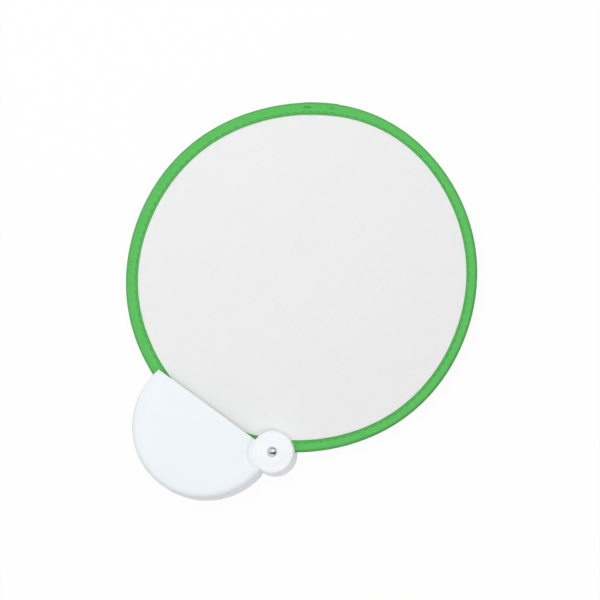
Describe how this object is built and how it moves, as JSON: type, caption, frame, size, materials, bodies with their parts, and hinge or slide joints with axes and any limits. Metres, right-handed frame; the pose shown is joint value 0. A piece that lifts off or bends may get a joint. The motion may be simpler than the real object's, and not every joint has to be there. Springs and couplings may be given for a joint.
{
  "type": "collapsible hand fan",
  "caption": "Round cloth hand fan with a taped spring hoop, clamped in a riveted hub at the end of a half-round plastic case that is its handle and swivels about the rivet.",
  "frame": {"origin": "centre of the case's round edge, on the flat back of the case", "axes": "+X along the case's straight mouth towards the rivet, +Y from the case towards the open fan, +Z out of the front face"},
  "size_m": [0.24, 0.2896, 0.0202],
  "materials": {
    "case_plastic": "white moulded plastic with a slight blue cast and a satin gloss",
    "hub_plastic": "white moulded plastic with a satin gloss",
    "white_cloth": "fine plain-woven white polyester, matte",
    "green_tape": "leaf green woven binding tape, matte",
    "spring_steel": "rolled spring steel strip",
    "rivet_metal": "plated and polished"
  },
  "bodies": {
    "case": {"case_front_shell": "case_plastic", "case_back_shell": "case_plastic"},
    "fan": {"fan_cloth": "white_cloth", "rim_binding": "green_tape", "spring_hoop": "spring_steel", "hoop_sleeve": "spring_steel", "clamp_front_jaw": "hub_plastic", "clamp_back_jaw": "hub_plastic", "hub_front_cap": "hub_plastic", "hub_back_cap": "hub_plastic", "pivot_rivet": "rivet_metal", "rivet_washer": "rivet_metal"}
  },
  "joints": [
    {"name": "case_swivel", "type": "hinge", "parent": "case", "child": "fan", "pos_m": [0.04866, 0.0115, 0.00925], "axis": [0, 0, -1], "range_deg": [0, 125]}
  ]
}
